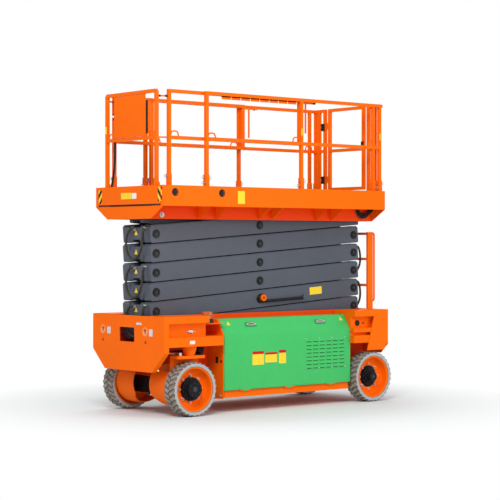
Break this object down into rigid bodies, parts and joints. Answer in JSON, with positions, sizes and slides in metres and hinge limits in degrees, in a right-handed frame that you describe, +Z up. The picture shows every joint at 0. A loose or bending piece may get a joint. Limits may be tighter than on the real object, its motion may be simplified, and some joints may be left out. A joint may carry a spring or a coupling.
{
  "type": "electric scissor lift",
  "caption": "Narrow electric slab scissor lift: a stack of crossed arms raises a railed platform with a sliding deck on a four-wheel steered chassis.",
  "frame": {"origin": "on the ground under the middle of the machine", "axes": "+X forward to the steered end, +Y to the machine's left, +Z up"},
  "size_m": [3.272, 1.272, 3.34],
  "materials": {
    "tyre": "matte",
    "orange": "satin",
    "arm_grey": "satin",
    "green": "satin",
    "black_paint": "satin",
    "chrome": "polished",
    "steel": "brushed",
    "black_plastic": "matte",
    "amber": "gloss"
  },
  "bodies": {
    "chassis": {"chassis_well": "orange", "front_plate": "orange", "rear_plate": "orange", "front_wings": "orange", "rear_wings": "orange", "chassis_tracks": "orange", "arm_foot": "orange", "king_pin_bosses": "orange", "rear_axle": "orange", "side_trays": "orange", "battery_pack": "black_plastic", "pump_unit": "black_plastic", "ladder": "orange", "beacon": "amber", "steering_barrel": "black_paint"},
    "knuckle_left": {"knuckle_left": "orange"},
    "knuckle_right": {"knuckle_right": "orange"},
    "tie_rod": {"tie_rod": "black_paint"},
    "steering_rod": {"steering_rod": "chrome"},
    "wheel_front_left": {"tyre_front_left": "tyre", "rim_front_left": "orange"},
    "wheel_front_right": {"tyre_front_right": "tyre", "rim_front_right": "orange"},
    "wheel_rear_left": {"tyre_rear_left": "tyre", "rim_rear_left": "orange"},
    "wheel_rear_right": {"tyre_rear_right": "tyre", "rim_rear_right": "orange"},
    "inner_arms_1": {"inner_arm_1": "arm_grey"},
    "outer_arms_1": {"outer_arm_1": "arm_grey", "lower_slide_shoes": "steel"},
    "inner_arms_2": {"inner_arm_2": "arm_grey"},
    "outer_arms_2": {"outer_arm_2": "arm_grey"},
    "inner_arms_3": {"inner_arm_3": "arm_grey"},
    "outer_arms_3": {"outer_arm_3": "arm_grey"},
    "inner_arms_4": {"inner_arm_4": "arm_grey"},
    "outer_arms_4": {"outer_arm_4": "arm_grey"},
    "inner_arms_5": {"inner_arm_5": "arm_grey"},
    "outer_arms_5": {"outer_arm_5": "arm_grey"},
    "inner_arms_6": {"inner_arm_6": "arm_grey", "upper_slide_shoes": "steel"},
    "outer_arms_6": {"outer_arm_6": "arm_grey"},
    "lower_barrel": {"lower_lift_barrel": "black_paint"},
    "lower_rod": {"lower_lift_rod": "chrome"},
    "upper_barrel": {"upper_lift_barrel": "black_paint"},
    "upper_rod": {"upper_lift_rod": "chrome"},
    "platform": {"platform_deck": "orange", "rails_left": "orange", "rails_right": "orange", "rails_rear": "orange"},
    "gate": {"gate": "orange"},
    "extension": {"extension_deck": "orange", "extension_rails": "orange", "control_guard": "orange", "control_box": "black_plastic"},
    "hood_left": {"hood_left": "green"},
    "hood_right": {"hood_right": "green"}
  },
  "joints": [
    {"name": "lift", "type": "hinge", "parent": "chassis", "child": "inner_arms_1", "pos_m": [-1.334, 0, 0.867], "axis": [0, -1, 0], "range_deg": [0, 52]},
    {"name": "outer_arms_2_hinge", "type": "hinge", "parent": "inner_arms_1", "child": "outer_arms_2", "pos_m": [1.45083, 0, 1.067], "axis": [0, -1, 0], "range_deg": [-104, 0]},
    {"name": "inner_arms_3_hinge", "type": "hinge", "parent": "outer_arms_2", "child": "inner_arms_3", "pos_m": [-1.334, 0, 1.267], "axis": [0, -1, 0], "range_deg": [0, 104]},
    {"name": "outer_arms_4_hinge", "type": "hinge", "parent": "inner_arms_3", "child": "outer_arms_4", "pos_m": [1.45083, 0, 1.467], "axis": [0, -1, 0], "range_deg": [-104, 0]},
    {"name": "inner_arms_5_hinge", "type": "hinge", "parent": "outer_arms_4", "child": "inner_arms_5", "pos_m": [-1.334, 0, 1.667], "axis": [0, -1, 0], "range_deg": [0, 104]},
    {"name": "outer_arms_6_hinge", "type": "hinge", "parent": "inner_arms_5", "child": "outer_arms_6", "pos_m": [1.45083, 0, 1.867], "axis": [0, -1, 0], "range_deg": [-104, 0]},
    {"name": "outer_arms_1_hinge", "type": "hinge", "parent": "inner_arms_1", "child": "outer_arms_1", "pos_m": [0.05841, 0, 0.967], "axis": [0, -1, 0], "range_deg": [-104, 0]},
    {"name": "inner_arms_2_hinge", "type": "hinge", "parent": "outer_arms_2", "child": "inner_arms_2", "pos_m": [0.05841, 0, 1.167], "axis": [0, -1, 0], "range_deg": [0, 104]},
    {"name": "outer_arms_3_hinge", "type": "hinge", "parent": "inner_arms_3", "child": "outer_arms_3", "pos_m": [0.05841, 0, 1.367], "axis": [0, -1, 0], "range_deg": [-104, 0]},
    {"name": "inner_arms_4_hinge", "type": "hinge", "parent": "outer_arms_4", "child": "inner_arms_4", "pos_m": [0.05841, 0, 1.567], "axis": [0, -1, 0], "range_deg": [0, 104]},
    {"name": "outer_arms_5_hinge", "type": "hinge", "parent": "inner_arms_5", "child": "outer_arms_5", "pos_m": [0.05841, 0, 1.767], "axis": [0, -1, 0], "range_deg": [-104, 0]},
    {"name": "inner_arms_6_hinge", "type": "hinge", "parent": "outer_arms_6", "child": "inner_arms_6", "pos_m": [0.05841, 0, 1.967], "axis": [0, -1, 0], "range_deg": [0, 104]},
    {"name": "platform_hinge", "type": "hinge", "parent": "outer_arms_6", "child": "platform", "pos_m": [-1.334, 0, 2.067], "axis": [0, -1, 0], "range_deg": [0, 52]},
    {"name": "lower_barrel_hinge", "type": "hinge", "parent": "inner_arms_1", "child": "lower_barrel", "pos_m": [1.25533, 0, 1.05296], "axis": [0, -1, 0], "range_deg": [-109.75, 0]},
    {"name": "lower_rod_slide", "type": "slide", "parent": "lower_barrel", "child": "lower_rod", "axis": [-0.9955, 0, 0.0948], "range_m": [0, 0.5584]},
    {"name": "upper_barrel_hinge", "type": "hinge", "parent": "inner_arms_4", "child": "upper_barrel", "pos_m": [1.25533, 0, 1.65296], "axis": [0, -1, 0], "range_deg": [-109.75, 0]},
    {"name": "upper_rod_slide", "type": "slide", "parent": "upper_barrel", "child": "upper_rod", "axis": [-0.9955, 0, 0.0948], "range_m": [0, 0.5584]},
    {"name": "extension_slide", "type": "slide", "parent": "platform", "child": "extension", "axis": [1, 0, 0], "range_m": [0, 0.9]},
    {"name": "gate_hinge", "type": "hinge", "parent": "platform", "child": "gate", "pos_m": [-1.456, -0.331, 2.85], "axis": [0, 0, -1], "range_deg": [0, 90], "stiffness_Nm_per_rad": 6},
    {"name": "hood_left_hinge", "type": "hinge", "parent": "chassis", "child": "hood_left", "pos_m": [0, 0.556, 0.227], "axis": [-1, 0, 0], "range_deg": [0, 90]},
    {"name": "hood_right_hinge", "type": "hinge", "parent": "chassis", "child": "hood_right", "pos_m": [0, -0.556, 0.227], "axis": [1, 0, 0], "range_deg": [0, 90]},
    {"name": "steer_left", "type": "hinge", "parent": "chassis", "child": "knuckle_left", "pos_m": [1.24, 0.53, 0.65], "axis": [0, 0, 1], "range_deg": [-38, 38]},
    {"name": "steer_right", "type": "hinge", "parent": "chassis", "child": "knuckle_right", "pos_m": [1.24, -0.53, 0.65], "axis": [0, 0, 1], "range_deg": [-38, 38]},
    {"name": "tie_rod_pin", "type": "hinge", "parent": "knuckle_left", "child": "tie_rod", "pos_m": [1.09, 0.53, 0.61], "axis": [0, 0, 1], "range_deg": [-38, 38]},
    {"name": "steering_rod_slide", "type": "slide", "parent": "chassis", "child": "steering_rod", "axis": [0, 1, 0], "range_m": [-0.075, 0.075]},
    {"name": "wheel_front_left_spin", "type": "hinge", "parent": "knuckle_left", "child": "wheel_front_left", "pos_m": [1.24, 0.545, 0.2795], "axis": [0, 1, 0], "continuous": true},
    {"name": "wheel_front_right_spin", "type": "hinge", "parent": "knuckle_right", "child": "wheel_front_right", "pos_m": [1.24, -0.545, 0.2795], "axis": [0, 1, 0], "continuous": true},
    {"name": "wheel_rear_left_spin", "type": "hinge", "parent": "chassis", "child": "wheel_rear_left", "pos_m": [-1.28, 0.545, 0.2795], "axis": [0, 1, 0], "continuous": true},
    {"name": "wheel_rear_right_spin", "type": "hinge", "parent": "chassis", "child": "wheel_rear_right", "pos_m": [-1.28, -0.545, 0.2795], "axis": [0, 1, 0], "continuous": true}
  ],
  "couplings": [
    {"joint": "outer_arms_2_hinge", "follows": "lift", "ratio": -2},
    {"joint": "inner_arms_3_hinge", "follows": "lift", "ratio": 2},
    {"joint": "outer_arms_4_hinge", "follows": "lift", "ratio": -2},
    {"joint": "inner_arms_5_hinge", "follows": "lift", "ratio": 2},
    {"joint": "outer_arms_6_hinge", "follows": "lift", "ratio": -2},
    {"joint": "outer_arms_1_hinge", "follows": "lift", "ratio": -2},
    {"joint": "inner_arms_2_hinge", "follows": "lift", "ratio": 2},
    {"joint": "outer_arms_3_hinge", "follows": "lift", "ratio": -2},
    {"joint": "inner_arms_4_hinge", "follows": "lift", "ratio": 2},
    {"joint": "outer_arms_5_hinge", "follows": "lift", "ratio": -2},
    {"joint": "inner_arms_6_hinge", "follows": "lift", "ratio": 2},
    {"joint": "platform_hinge", "follows": "lift", "ratio": 1},
    {"joint": "lower_barrel_hinge", "follows": "lift", "ratio": -2.1096},
    {"joint": "lower_rod_slide", "follows": "lift", "m_per_rad": 0.6147},
    {"joint": "upper_barrel_hinge", "follows": "lift", "ratio": -2.1096},
    {"joint": "upper_rod_slide", "follows": "lift", "m_per_rad": 0.6147},
    {"joint": "steer_right", "follows": "steer_left", "ratio": 1},
    {"joint": "tie_rod_pin", "follows": "steer_left", "ratio": -1},
    {"joint": "steering_rod_slide", "follows": "steer_left", "m_per_rad": 0.1115}
  ]
}
